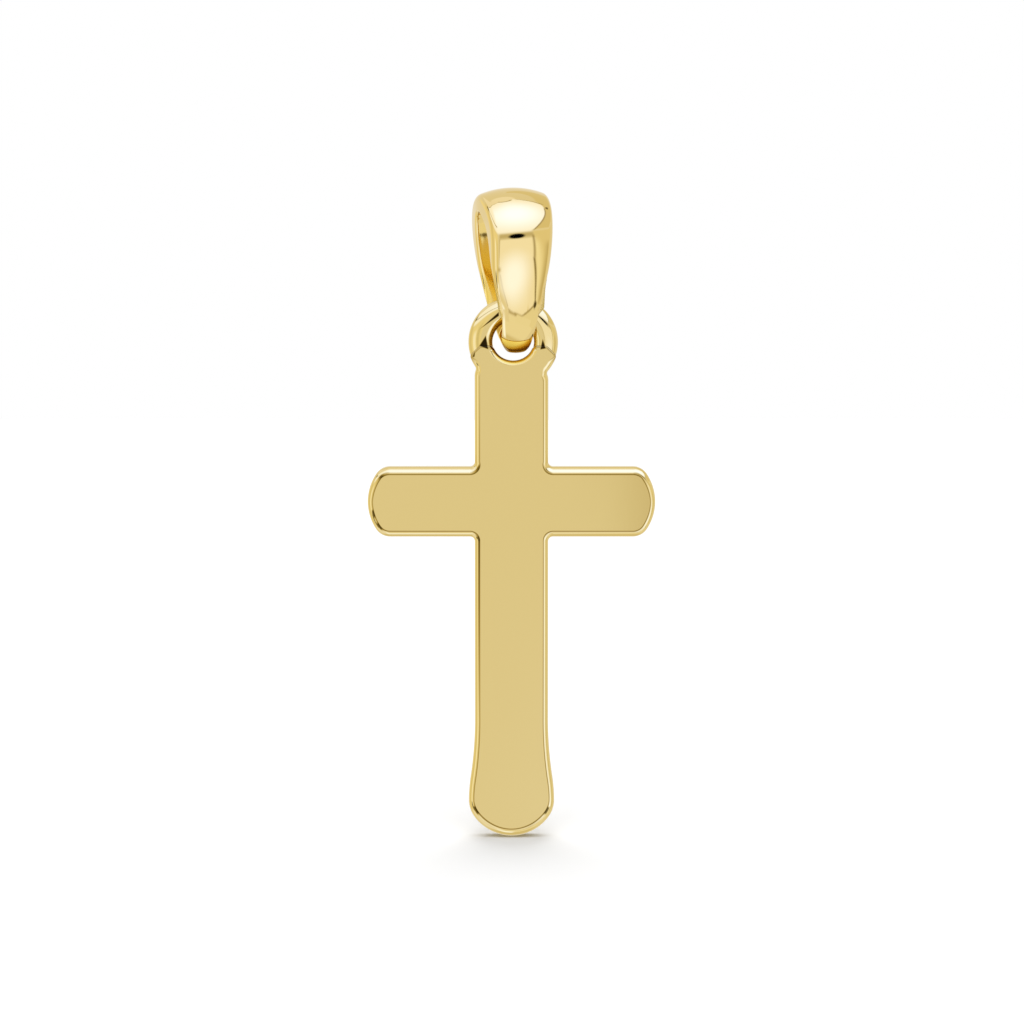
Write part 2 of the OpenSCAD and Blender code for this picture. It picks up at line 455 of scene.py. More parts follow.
def painted_dark_group() -> bpy.types.NodeTree:
    """The mask of one painted dark triangle, soft-edged, on the front face: painted shade and a dark
    reflection.

    For each edge it takes the distance inwards from that edge, over the softness, and the mask is
    the product of the three.

    Returns:
        A group with the corners in metres, counted clockwise from the front, in and Mask out.
    """
    keys = tuple(f"{part} {corner}" for corner in (1, 2, 3) for part in ("X", "Z"))
    tree, board, given, out = new_group("painted_dark", {key: 0.0 for key in (*keys, "Soft", "Depth")}, ("Mask",))
    parts = board.node("ShaderNodeSeparateXYZ")
    board.feed(parts.inputs[0], board.node("ShaderNodeTexCoord").outputs["Object"])
    x, y, z = parts.outputs
    mask: object = board.math("LESS_THAN", y, given.outputs["Depth"])
    for first, second in ((1, 2), (2, 3), (3, 1)):
        x1, z1 = given.outputs[f"X {first}"], given.outputs[f"Z {first}"]
        dx = board.math("SUBTRACT", given.outputs[f"X {second}"], x1)
        dz = board.math("SUBTRACT", given.outputs[f"Z {second}"], z1)
        squares = [board.math("MULTIPLY", side, side) for side in (dx, dz)]
        length = board.math("SQRT", board.math("ADD", *squares))
        right = board.math("MULTIPLY", board.math("SUBTRACT", x, x1), dz)
        ahead = board.math("MULTIPLY", board.math("SUBTRACT", z, z1), dx)
        inward = board.math("DIVIDE", board.math("SUBTRACT", right, ahead), length)
        share = board.math("ADD", board.math("DIVIDE", inward, given.outputs["Soft"]), 0.5)
        mask = board.math("MULTIPLY", mask, board.remap(share, 0.0, 1.0))
    board.feed(out.inputs["Mask"], mask)
    return tree


def ripple_group() -> bpy.types.NodeTree:
    """Level ripples left by casting on the inner wall, with a slight wander.

    Returns:
        A group with Ripples per Metre in and Height out.
    """
    tree, board, given, out = new_group("ripple", {"Ripples per Metre": 600.0}, ("Height",))
    place = board.node("ShaderNodeTexCoord").outputs["Object"]
    wave = board.node("ShaderNodeTexWave", wave_type="BANDS", bands_direction="Z", wave_profile="SIN")
    board.feed(wave.inputs["Vector"], place)
    board.feed(wave.inputs["Scale"], given.outputs["Ripples per Metre"])
    wave.inputs["Distortion"].default_value = RIPPLE_WANDER
    wave.inputs["Detail Scale"].default_value = RIPPLE_WANDER_SCALE
    board.feed(out.inputs["Height"], wave.outputs["Fac"])
    return tree


@dataclass(frozen=True)
class Effects:
    """The node groups that the finishes share."""

    polish: bpy.types.NodeTree
    recess: bpy.types.NodeTree
    painted_dark: bpy.types.NodeTree
    ripple: bpy.types.NodeTree

    @classmethod
    def built(cls) -> "Effects":
        """Builds each group once."""
        return cls(polish_group(), recess_group(), painted_dark_group(), ripple_group())


@dataclass(frozen=True)
class PaintedDark:
    """A painted dark triangle on the front face, standing in for shade and a dark reflection: its corners
    clockwise from the front, in millimetres.
    """

    first: Point
    second: Point
    third: Point
    soft: float = 0.06
    depth: float = -0.2

    def mask(self, board: NodeBoard, tree: bpy.types.NodeTree) -> bpy.types.NodeSocket:
        """Places the crease group for this triangle.

        Args:
            board: The board of the finish.
            tree: The crease group.

        Returns:
            The triangle's mask.
        """
        values = {"Soft": self.soft * MM, "Depth": self.depth * MM}
        for number, (x, z) in enumerate((self.first, self.second, self.third), start=1):
            values[f"X {number}"], values[f"Z {number}"] = x * MM, z * MM
        return board.group(tree, values).outputs["Mask"]


@dataclass(frozen=True)
class GoldFinish:
    """Polished yellow gold: its colour in the open, a painted deeper colour inside the loop that stands in
    for light bounced between the gold faces, and painted brown and near-black for shallow and deep painted
    shade and dark reflections.

    Haze is what the polish group adds to the roughness and satin what the inside adds, and the
    bump is in millimetres.
    """

    name: str
    gold: Colour
    # The next three colours are painted light: a deeper gold inside the loop for light bounced between the
    # gold faces, then brown and near-black for painted shade and dark reflections.
    deep: Colour
    shade: Colour
    painted_black: Colour
    roughness: float
    haze: float
    bump: float
    ripple: float
    satin: float
    painted_triangles: tuple[PaintedDark, ...] = ()

    def build(self, effects: Effects) -> bpy.types.Material:
        """Makes the material: gold with a painted deeper colour inside the loop for bounced light, and
        painted brown and near-black where painted shade and dark reflections are marked.

        Args:
            effects: The shared node groups.

        Returns:
            The material.
        """
        made, board, shader = new_material(self.name)
        polish, recess, ripple = (
            board.group(tree, {}) for tree in (effects.polish, effects.recess, effects.ripple)
        )
        # painted bounce light: a deeper gold inside the loop
        warm = board.mix(recess.outputs["Inside"], self.gold, self.deep)
        # painted darkness from the point marks and the painted dark triangles: painted shade and dark
        # reflections
        dark = recess.outputs["PaintedDark"]
        for painted_dark in self.painted_triangles:
            dark = board.math("MAXIMUM", dark, painted_dark.mask(board, effects.painted_dark))
        # painted shade: brown, then near-black where the painted darkness is full
        brown = board.mix(board.math("MULTIPLY", dark, BROWN_GAIN, clamp=True), warm, self.shade)
        board.feed(shader.inputs["Base Color"], board.mix(dark, brown, self.painted_black))
        shader.inputs["Metallic"].default_value = 1.0
        rough = board.math("MULTIPLY_ADD", polish.outputs["Haze"], self.haze, self.roughness)
        rough = board.math("MULTIPLY_ADD", recess.outputs["Inside"], self.satin, rough)
        board.feed(shader.inputs["Roughness"], rough)
        inside = board.math("MULTIPLY", ripple.outputs["Height"], recess.outputs["Inside"])
        height = board.math("MULTIPLY_ADD", inside, self.ripple, polish.outputs["Height"])
        bump = board.node("ShaderNodeBump")
        bump.inputs["Distance"].default_value = self.bump * MM
        bump.inputs["Strength"].default_value = 1.0
        board.feed(bump.inputs["Height"], height)
        board.feed(shader.inputs["Normal"], bump.outputs["Normal"])
        return made


# The bail


@dataclass(frozen=True)
class SectionArc:
    """One arc of the band's section, with one value a station in each array.

    Its middle lies at across and through, its angles are in degrees, and open ends leave out its
    two end points, which the neighbouring arcs already have.
    """

    across: np.ndarray
    through: np.ndarray
    radius: np.ndarray
    start: np.ndarray
    end: np.ndarray
    steps: int
    # share inside the loop: it paints a deeper gold for bounced light and sets the satin and ripples
    inside: float
    open_ends: bool = False

    def points(self) -> tuple[np.ndarray, np.ndarray]:
        """The arc's points: its middle plus its radius times (cos, sin) of the angle.

        Returns:
            Across and through positions as stations by points.
        """
        share = np.linspace(0.0, 1.0, self.steps + 1)[None, :]
        if self.open_ends:
            share = share[:, 1:-1]
        angle = np.radians(self.start[:, None] + (self.end - self.start)[:, None] * share)
        radius = self.radius[:, None]
        return self.across[:, None] + radius * np.cos(angle), self.through[:, None] + radius * np.sin(angle)


@dataclass(frozen=True)
class Bail:
    """The tapered loop that the chain runs through. Sizes in millimetres, angles in degrees.

    The drop is 0 at the crown and 1 at the bar, and a name ending in _drop holds the two drops
    between which something sets in.
    """

    clear_height: float = 4.85
    clear_depth: float = 2.4
    leg: float = 0.58
    crown: float = 0.83
    bar: float = 1.14
    lip_angle: float = 31.5
    lip_step: float = 0.12
    lip_run: float = 1.0
    lip_before: float = 1.2
    lip_after: float = 0.2
    lip_stations: int = 12
    crown_width: float = 2.98
    knee_width: float = 1.5
    bar_width: float = 1.11
    bar_power: int = 8
    seat_radius: float = 0.72
    turn: float = 17.0
    lean: float = 2.0
    left_more: float = 0.36
    right_more: float = 0.16
    ahead_span: Span = (0.1, 0.5)
    front_drop: Span = (0.1, 0.7)
    right_drop: Span = (0.62, 0.8)
    slant_drop: Span = (0.7, 0.82)
    slant_depth: Span = (0.5, 1.0)
    dome_r: float = 3.8
    leg_dome_r: float = 4.5
    bar_dome_r: float = 1.42
    dome_power: int = 5
    hollow_share: float = 0.48
    seat_share: float = 1.6
    seat_reach: float = 0.75
    seat_power: int = 4
    seat_taper: float = 0.72
    outer_edge_r: float = 0.33
    inner_edge_r: float = 0.12
    seat_edge_r: float = 0.277
    outer_taper: float = 0.3
    # inside the loop: the least share at the crown of the painted bounce gold and the satin, and the drops
    # between which both grow to full
    deep_least: float = 0.15
    deep_drop: Span = (0.3, 0.75)
    # painted shade on the keel under the lip: how dark, and over what share of the lip angle it grows
    keel_dark: float = 0.42
    keel_share: float = 0.9
    stations: int = 384
    face_steps: int = 40
    edge_steps: int = 20
    low_steps: int = 14
    under_steps: int = 24

    def _stations(self) -> np.ndarray:
        """Angles round the loop, evenly spread and closer together at both lips.

        Returns:
            Rising angles in radians.
        """
        lips = math.radians(270.0) + math.radians(self.lip_angle) * np.array([-1.0, 1.0])
        close = np.radians(np.linspace(-self.lip_before, self.lip_after, self.lip_stations))
        near = (lips[:, None] + close[None, :] * np.array([[-1.0], [1.0]])).ravel()
        even = np.linspace(0.0, 2.0 * math.pi, self.stations, endpoint=False)
        return np.sort(np.concatenate([even, near]))

    def _outlines(self, t: np.ndarray, under: np.ndarray) -> tuple[np.ndarray, np.ndarray]:
        """The loop from the side: the clear egg, and the outer one, drawn in under the bar's lip.

        Args:
            t: Angles round the loop.
            under: 1 at the stations past the lip, 0 at the others.

        Returns:
            Rows of y and z on the clear egg and on the outer one.
        """
        half, half_depth = self.clear_height / 2.0, self.clear_depth / 2.0
        outer_half = (self.crown + self.clear_height + self.bar) / 2.0
        inner_taper = 1.0 - math.sqrt(self.seat_radius * half) / half_depth
        inner = egg(t, half_depth, half, inner_taper, -half)
        outer = egg(t, half_depth + self.leg, outer_half, self.outer_taper, self.crown - outer_half)
        outer[:, 0] *= 1.0 - self.lip_step * under
        return inner, outer

    def _section(
        self,
        width: np.ndarray,
        more: np.ndarray,
        wall: np.ndarray,
        low: np.ndarray,
        seat: np.ndarray,
        front: np.ndarray,
    ) -> tuple[np.ndarray, np.ndarray, np.ndarray]:
        """The band's section at each station: two domed faces joined by round edges.

        Each edge is an arc about a centre its own radius in from the side, and each face is an arc
        that meets the edges without a break, because both share the normal at that centre's angle.

        Args:
            width: Width of the band at each station, where it is the same on both legs.
            more: What the front leg is wider there.
            wall: Thickness at the middle of the band.
            low: 0 on the legs and crown, 1 at the bar, for the outer face.
            seat: 0 at the crown, 1 where the loop carries the eye, for the inner face.
            front: 0 at the crown and at the back, 1 low on the front leg, whose face is flatter.

        Returns:
            Across and through positions as stations by points, and the points' inside mark.
        """
        half, middle = (width + more) / 2.0, np.zeros_like(width)
        edge_r = self.outer_edge_r * np.ones_like(half)
        low_r = self.inner_edge_r + (self.seat_edge_r - self.inner_edge_r) * seat
        broad = 1.0 / (1.0 / self.dome_r + (1.0 / self.leg_dome_r - 1.0 / self.dome_r) * front)
        top_r = 1.0 / (1.0 / broad + (1.0 / self.bar_dome_r - 1.0 / broad) * low)
        bulge = self.seat_share * seat - self.hollow_share * (1.0 - seat)
        under_r = (width + more) ** 2 / width / bulge
        top = np.degrees(np.arcsin((half - edge_r) / (top_r - edge_r)))
        under = np.degrees(np.arcsin((half - low_r) / (under_r - low_r)))
        top_edge = wall - top_r + (top_r - edge_r) * np.cos(np.radians(top))
        under_edge = under_r - (under_r - low_r) * np.cos(np.radians(under))
        meet = np.degrees(np.arcsin(np.clip((under_edge - top_edge) / edge_r, 0.0, 0.9)))
        arcs = (
            SectionArc(middle, wall - top_r, top_r, 90.0 + top, 90.0 - top, self.face_steps, 0.0, True),
            SectionArc(half - edge_r, top_edge, edge_r, 90.0 - top, meet, self.edge_steps, 0.0),
            SectionArc(half - low_r, under_edge, low_r, middle, under - 90.0, self.low_steps, 0.5),
            SectionArc(middle, under_r, under_r, under - 90.0, -90.0 - under, self.under_steps, 1.0, True),
            SectionArc(low_r - half, under_edge, low_r, -90.0 - under, middle - 180.0, self.low_steps, 0.5),
            SectionArc(edge_r - half, top_edge, edge_r, 180.0 - meet, 90.0 + top, self.edge_steps, 0.0),
        )
        across, through, inside = [], [], []
        for part in arcs:
            part_across, part_through = part.points()
            across.append(part_across)
            through.append(part_through)
            inside.append(np.full(part_across.shape[1], part.inside))
        across, through = np.concatenate(across, axis=1), np.concatenate(through, axis=1)
        slim = 1.0 - self.seat_taper * seat[:, None] ** 2 * (1.0 - through / wall[:, None])
        return across * slim, through, np.concatenate(inside)

    def _slant(self, side: np.ndarray, depth: np.ndarray, drop: np.ndarray) -> np.ndarray:
        """The share by which the right side's extra width is drawn in, to clear the eye's wire.

        Args:
            side: 0 at the middle of the band and beyond, 1 at its right side.
            depth: 0 at the inner face, 1 at the outer face.
            drop: The stations' drop.

        Returns:
            A share from 0 to 1 for stations by points.
        """
        back = 1.0 - smooth_step(depth, *self.slant_depth)
        return back * smooth_step(drop, *self.slant_drop)[:, None] * np.clip(side, 0.0, 1.0)

    def surface(self) -> tuple[np.ndarray, np.ndarray, np.ndarray]:
        """The band's points: its section carried round the loop from the clear egg to the outer one.

        Returns:
            The points in millimetres as stations by section points, how far inside each lies, and
            its painted darkness, the painted shade on the keel under the lip.
        """
        t = self._stations()
        past_lip = self.lip_angle - np.degrees(np.abs(t - 1.5 * math.pi))
        under = smooth_step(past_lip, 0.0, self.lip_run)
        inner, outer = self._outlines(t, under)
        wall = np.linalg.norm(outer - inner, axis=1)
        drop = (1.0 - np.sin(t)) / 2.0
        width = self.crown_width - (self.crown_width - self.knee_width) * drop
        width -= (self.knee_width - self.bar_width) * drop**self.bar_power
        ahead = smooth_step(-np.cos(t), *self.ahead_span)
        front = ahead * smooth_step(drop, *self.front_drop)
        left = self.left_more * front
        right = self.right_more * ahead * smooth_step(drop, *self.right_drop)
        seat = np.minimum(1.0, drop / self.seat_reach) ** self.seat_power
        low = drop**self.dome_power
        across, through, inside = self._section(width, left + right, wall, low, seat, front)
        across += (right - left)[:, None] / 2.0
        side = across / (width / 2.0 + right)[:, None]
        across -= right[:, None] * self._slant(side, through / wall[:, None], drop)
        along = (outer - inner) / wall[:, None]
        spine = inner[:, None, :] + through[..., None] * along[:, None, :]
        points = np.concatenate([across[..., None], spine], axis=-1) @ turn_matrix(self.turn, -self.lean).T
        # painted bounce gold inside, full towards the bar and past the lip, and painted shade on the keel
        deep = self.deep_least + (1.0 - self.deep_least) * smooth_step(drop, *self.deep_drop)
        keel = self.keel_dark * smooth_step(past_lip, 0.0, self.keel_share * self.lip_angle)
        inside = np.maximum(inside[None, :] * deep[:, None], under[:, None])
        return points, inside, keel[:, None] * np.ones_like(inside)

    def build(self) -> bpy.types.Object:
        """Makes the loop as one closed grid and marks its points.

        Returns:
            The loop.
        """
        points, inside, dark = self.surface()
        quads = grid_quads(*points.shape[:2], True)
        made = mesh_object("bail_loop", points.reshape(-1, 3), quads.tolist())
        mark_points(made, Mark.INSIDE, inside.reshape(-1))
        mark_points(made, Mark.PAINTED_DARK, dark.reshape(-1))
        return made

    def dress(self, obj: bpy.types.Object, finish: bpy.types.Material) -> None:
        """Gives the loop its finish and sets it on its body in place of the CAD solid.

        Args:
            obj: The loop.
            finish: Its material.
        """
        obj.data.materials.append(finish)
        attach(obj, "bail")
        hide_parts("bail")


# The cross and its eye


@dataclass(frozen=True)
class Cross:
    """The flat cross with rounded edges and its eye, one casting. Sizes in millimetres.

    The head and neck spans are heights above the eye's middle, the inside span is measured from
    the bore outwards, and a name ending in _dark is a share of the painted near-black, which stands in for
    shade and dark reflections.
    """

    arm_span: float = 11.94
    arm_height: float = 2.92
    arm_end_r: float = 2.08
    arm_corner_r: float = 0.7
    stem_width: float = 3.05
    thickness: float = 1.2
    eye_to_arms: float = 6.62
    arms_to_foot: float = 14.06
    foot_width: float = 3.57
    foot_r: float = 1.9
    shoulder_r: float = 1.25
    flare: float = 3.5
    crotch_r: float = 0.2
    edge_r: float = 0.2
    top_edge_more: float = 0.12
    low_edge_more: float = 0.04
    foot_edge_more: float = 0.09
    bore: float = 1.71
    wire: float = 1.0
    eye_x: float = 0.07
    back: float = 0.05
    eye_z: float = -5.525
    eye_depth: float = 0.94
    eye_rim_width: float = 0.57
    eye_rim_depth: float = 0.3
    lap: float = 0.02
    bore_edge_r: float = 0.3
    hole_depth: float = 0.765
    head_drop: float = 0.15
    head_slope: float = 46.0
    shoulder_angle: float = -21.0
    horn_r: float = 0.2
    neck_r: float = 0.15
    neck_in: float = 0.05
    collar_r: float = 0.8
    notch_r: float = 0.3
    hole_edge_r: float = 0.24
    head_edge_r: float = 0.07
    hollow_part: float = 0.72
    bore_blend: float = 0.12
    head_span: Span = (-0.95, -0.6)
    neck_span: Span = (-1.7, -1.2)
    inside_span: Span = (0.05, 0.12)
    sharp_angle: float = 28.0
    edge_steps: int = 12
    search_steps: int = 720
    hole_steps: int = 60
    small_steps: int = 10
    corner_steps: int = 14
    joint_steps: int = 16
    round_steps: int = 24
    foot_steps: int = 36
    end_steps: int = 48
    eye_corner_steps: int = 20
    eye_stations: int = 240
    flat_rim: float = 0.004
    # a painted dark line between edge and face, standing in for a dark reflection: its width, how dark it
    # is where the edge faces up, sideways and down, and the darker core it spills onto the edge
    painted_line_width: float = 0.035
    painted_line_up: float = 0.6
    painted_line_across: float = 0.42
    painted_line_down: float = 0.5
    painted_line_gain: float = 2.0
    painted_line_floor: float = 1.2
    # places of painted dark spots on that line, standing in for dark reflections
    painted_spots: tuple[Point, ...] = (
        (-5.78, -12.65),
        (-5.53, -13.2),
        (-5.48, -11.0),
        (-1.5, -25.08),
        (1.52, -25.11),
        (-1.44, -13.73),
        (-1.5, -10.69),
    )
    spot_r: float = 0.13
    spot_dark: float = 1.5
    # painted darkness on the slim edge beside the eye and inside the bore
    head_dark: float = 0.3
    hole_dark: float = 0.06

    @property
    def arm_z(self) -> float:
        """Height of the arms' middle line."""
        return self.eye_z - self.eye_to_arms

    @property
    def foot_z(self) -> float:
        """Height of the foot's tip."""
        return self.arm_z - self.arms_to_foot

    def _hole_side(self, ex: float) -> np.ndarray:
        """Half of the hole's lower edge, an ellipse, and the round corner up to the plate's top.

        The corner's centre lies its radius r out from the ellipse along the ellipse's normal, and
        the ellipse ends where that centre plus r comes level with the top.

        Args:
            ex: Sideways place of the eye's middle.

        Returns:
            Rows of x, z, normal x and normal z, from the bottom of the hole upwards.
        """
        wide, tall, r = self.bore / 2.0 - self.lap, self.hole_depth, self.notch_r
        t = np.radians(np.linspace(-90.0, 0.0, self.search_steps + 1))
        level = tall * np.sin(t) + r * (ellipse_normals(t, wide, tall)[:, 1] + 1.0) + self.head_drop
        t = np.linspace(-math.pi / 2.0, float(np.interp(0.0, level, t)), self.hole_steps + 1)
        normal = ellipse_normals(t, wide, tall)
        rim = np.stack([ex + wide * np.cos(t), self.eye_z + tall * np.sin(t)], axis=1)
        corner = rim[-1] + r * normal[-1]
        start = 180.0 + math.degrees(math.atan2(normal[-1, 1], normal[-1, 0]))
        edge = np.concatenate([rim, -normal], axis=1)[:-1]
        return np.concatenate([edge, arc(corner, r, (start, 90.0), self.joint_steps)])

    def _head_side(self, ex: float) -> np.ndarray:
        """One side above the arm, from the bottom of the hole round its corner to the inner corner.

        The horn is the plate's upper corner beside the eye, and below the head the outline turns
        through the neck and the collar into the stem.

        Args:
            ex: Sideways place of the eye's middle.

        Returns:
            Rows of x, z, normal x and normal z.
        """
        half, head_r = self.stem_width / 2.0, self.bore / 2.0 + self.wire + self.lap
        low_a, slope = math.radians(self.shoulder_angle), math.radians(self.head_slope)
        low_x, low_z = (head_r - self.horn_r) * math.cos(low_a), (head_r - self.horn_r) * math.sin(low_a)
        run = (-self.head_drop - self.horn_r - low_z) / math.cos(slope)
        neck_dx = half - self.neck_in + self.neck_r - ex
        neck_dz = -math.sqrt((head_r + self.neck_r) ** 2 - neck_dx**2)
        neck_a = math.degrees(math.atan2(neck_dz, neck_dx))
        both = self.neck_r + self.collar_r
        turn = math.degrees(math.acos(1.0 - self.neck_in / both))
        horn = (ex + low_x - run * math.sin(slope), self.eye_z - self.head_drop - self.horn_r)
        low = (ex + low_x, self.eye_z + low_z)
        neck = (ex + neck_dx, self.eye_z + neck_dz)
        collar = (half - self.collar_r, neck[1] - both * math.sin(math.radians(turn)))
        crotch = (half + self.crotch_r, self.arm_z + self.arm_height / 2.0 + self.crotch_r)
        return np.concatenate(
            [
                self._hole_side(ex),
                arc(horn, self.horn_r, (90.0, self.head_slope), self.small_steps),
                arc(low, self.horn_r, (self.head_slope, self.shoulder_angle), self.corner_steps)[:-1],
                arc((ex, self.eye_z), head_r, (self.shoulder_angle, neck_a), self.round_steps),
                arc(neck, self.neck_r, (neck_a + 180.0, 180.0 + turn), self.joint_steps, -1)[:-1],
                arc(collar, self.collar_r, (turn, 0.0), self.small_steps),
                arc(crotch, self.crotch_r, (180.0, 270.0), self.corner_steps, -1),
            ]
        )

    def _arm_side(self) -> np.ndarray:
        """The round end of an arm, from its upper corner to its lower one.

        Returns:
            Rows of x, z, normal x and normal z.
        """
        end_x = self.arm_span / 2.0 - self.arm_end_r
        dz = self.arm_height / 2.0 - self.arm_corner_r
        dx = math.sqrt((self.arm_end_r - self.arm_corner_r) ** 2 - dz**2)
        turn = math.degrees(math.atan2(dz, dx))
        upper, lower = (end_x + dx, self.arm_z + dz), (end_x + dx, self.arm_z - dz)
        return np.concatenate(
            [
                arc(upper, self.arm_corner_r, (90.0, turn), self.corner_steps)[:-1],
                arc((end_x, self.arm_z), self.arm_end_r, (turn, -turn), self.end_steps)[:-1],
                arc(lower, self.arm_corner_r, (-turn, -90.0), self.corner_steps),
            ]
        )

    def _foot_side(self) -> np.ndarray:
        """One side below the arm, down to just before the tip.

        The flare is a hollow arc and a round one of the same turn, joined without a break.

        Returns:
            Rows of x, z, normal x and normal z.
        """
        half, foot_half = self.stem_width / 2.0, self.foot_width / 2.0
        shoulder_x = foot_half - self.shoulder_r
        drop = math.sqrt((self.foot_r - self.shoulder_r) ** 2 - shoulder_x**2)
        shoulder_z = self.foot_z + self.foot_r - drop
        flare_a = math.degrees(2.0 * math.atan((self.foot_width - self.stem_width) / 2.0 / self.flare))
        radii = self.flare / math.sin(math.radians(flare_a))
        hollow_r = self.hollow_part * radii
        round_r = radii - hollow_r
        tip_a = math.degrees(math.atan2(shoulder_z - self.foot_z - self.foot_r, shoulder_x))
        crotch = (half + self.crotch_r, self.arm_z - self.arm_height / 2.0 - self.crotch_r)
        hollow = (half + hollow_r, shoulder_z + self.flare)
        return np.concatenate(
            [
                arc(crotch, self.crotch_r, (90.0, 180.0), self.corner_steps, -1),
                arc(hollow, hollow_r, (180.0, 180.0 + flare_a), self.round_steps, -1)[:-1],
                arc((foot_half - round_r, shoulder_z), round_r, (flare_a, 0.0), self.small_steps)[:-1],
                arc((shoulder_x, shoulder_z), self.shoulder_r, (0.0, tip_a), self.round_steps)[:-1],
                arc((0.0, self.foot_z + self.foot_r), self.foot_r, (tip_a, -90.0), self.foot_steps)[:-1],
            ]
        )

    def outline(self) -> np.ndarray:
        """The plate's whole outline, clockwise from the bottom of the notch that the hole leaves.

        Returns:
            Rows of x, z, normal x and normal z.
        """
        right = np.concatenate([self._head_side(self.eye_x), self._arm_side(), self._foot_side()])
        left = np.concatenate([self._head_side(-self.eye_x), self._arm_side(), self._foot_side()])
        tip = np.array([[0.0, self.foot_z, 0.0, -1.0]])
        return np.concatenate([right, tip, mirrored(left)[:-1]])

    def _painted_line_darkness(self, line: np.ndarray, radius: np.ndarray, plain: np.ndarray) -> np.ndarray:
        """How dark the painted line between edge and face is along the outline, a painted dark reflection.

        It grows with the share of the edge's normal that points up, sideways or down, and each painted
        dark spot, a painted dark reflection, adds a bell curve about its place.

        Args:
            line: The outline's rows of x, z, normal x and normal z.
            radius: The edge's radius there, by which the painted line lies inside the outline.
            plain: 1 where the line is painted, 0 at the plate's top beside the eye.

        Returns:
            One value a row, between 0 and 1.
        """
        up, across, down = np.maximum(line[:, 3], 0.0), np.abs(line[:, 2]), np.maximum(-line[:, 3], 0.0)
        sides = (self.painted_line_up * up + self.painted_line_across * across + self.painted_line_down * down) * plain
        painted_line = line[:, :2] - radius[:, None] * line[:, 2:]
        for x, z in self.painted_spots:
            away = np.hypot(painted_line[:, 0] - x, painted_line[:, 1] - z)
            sides += self.spot_dark * np.exp(-((away / self.spot_r) ** 2))
        return np.clip(sides, 0.0, 1.0)

    def _edge_radius(self, line: np.ndarray, at_head: np.ndarray, at_bore: np.ndarray) -> np.ndarray:
        """The edge's radius: broader at the top, the bottom and the foot, and slim beside the eye.

        Args:
            line: The outline's rows of x, z, normal x and normal z.
            at_head: 1 beside the eye, 0 away from it.
            at_bore: 1 at the bore, 0 away from it.

        Returns:
            One radius a row.
        """
        lower = smooth_step(self.foot_z + self.foot_r - line[:, 1], 0.0, self.foot_r)
        top, bottom = np.maximum(line[:, 3], 0.0), np.minimum(line[:, 3], 0.0)
        radius = self.edge_r + (self.top_edge_more * top - self.low_edge_more * bottom)
        radius = radius + self.foot_edge_more * lower
        radius += (self.head_edge_r - radius) * at_head
        radius += (self.hole_edge_r - radius) * at_bore
        return radius

    def _plate(self) -> tuple[bpy.types.Object, np.ndarray]:
        """The plate: its outline drawn in by 1 - cos and out to the face by 1 - sin of the edge's angle.

        Returns:
            The plate, and rows of x, y, z in millimetres with the painted darkness there.
        """
        line = self.outline()
        above = line[:, 1] - self.eye_z
        from_eye = np.hypot(line[:, 0] - self.eye_x, above)
        at_bore = 1.0 - smooth_step(from_eye, self.bore / 2.0, self.bore / 2.0 + self.bore_blend)
        at_head = smooth_step(above, *self.head_span)
        radius = self._edge_radius(line, at_head, at_bore)
        a = np.radians(np.linspace(0.0, 90.0, self.edge_steps + 1))
        rims = [radius + self.flat_rim, radius + self.painted_line_width]
        drawn = np.concatenate([np.outer(1.0 - np.cos(a), radius), rims])
        depth = np.concatenate([np.outer(1.0 - np.sin(a), radius), np.zeros((2, len(line)))])
        # painted darkness: painted shade on the slim edge beside the eye, the painted dark line at the
        # face's rim, and a darker core of it on the edge
        dark = np.zeros(drawn.shape)
        dark[:-1] = self.head_dark * at_head * (1.0 - at_bore)
        painted_line = self._painted_line_darkness(line, radius, 1.0 - smooth_step(above, *self.neck_span))
        dark[-3:-1] += painted_line
        dark[-5:-3] += np.clip(self.painted_line_gain * painted_line - self.painted_line_floor, 0.0, 1.0)
        dark = np.concatenate([np.zeros(drawn.shape), dark])
        drawn = np.concatenate([drawn[::-1], drawn])
        depth = np.concatenate([self.thickness / 2.0 - depth[::-1], depth - self.thickness / 2.0])
        x, z = line[:, 0] - drawn * line[:, 2], line[:, 1] - drawn * line[:, 3]
        points = np.stack([x, self.back + depth, z], axis=-1).reshape(-1, 3)
        rows, columns = drawn.shape
        faces = grid_quads(rows, columns, False).tolist()
        faces.append(list(range(columns)))
        faces.append(list(range((rows - 1) * columns, rows * columns)))
        return mesh_object("cross_cast", points, faces), np.column_stack([points, dark.reshape(-1)])

    def _eye(self) -> bpy.types.Object:
        """The eye: a rounded oblong section carried round a circle that faces the front.

        Each corner of the section is a quarter ellipse about a point its own width and height in
        from the two sides.

        Returns:
            The eye, still on its own.
        """
        around = np.linspace(0.0, 2.0 * math.pi, self.eye_stations, endpoint=False)[:, None]
        inner, outer, half = self.bore / 2.0, self.bore / 2.0 + self.wire, self.eye_depth / 2.0
        rim, deep, hole = self.eye_rim_width, self.eye_rim_depth, self.bore_edge_r
        corners = (
            (outer - rim, half - deep, rim, deep, 0.0),
            (inner + hole, half - hole, hole, hole, 90.0),
            (inner + hole, hole - half, hole, hole, 180.0),
            (outer - rim, deep - half, rim, deep, 270.0),
        )
        runs = []
        for reach, depth, wide, tall, start in corners:
            quarter = arc((0.0, 0.0), 1.0, (start, start + 90.0), self.eye_corner_steps)[:, :2]
            runs.append(quarter * [wide, tall] + [reach, depth])
        section = np.concatenate(runs)
        reach, depth = section[:, 0][None, :], section[:, 1][None, :]
        x = self.eye_x + reach * np.cos(around)
        z = self.eye_z + reach * np.sin(around)
        points = np.stack([x, self.back + depth * np.ones_like(x), z], axis=-1)
        return mesh_object("eye", points.reshape(-1, 3), grid_quads(*x.shape, True).tolist())

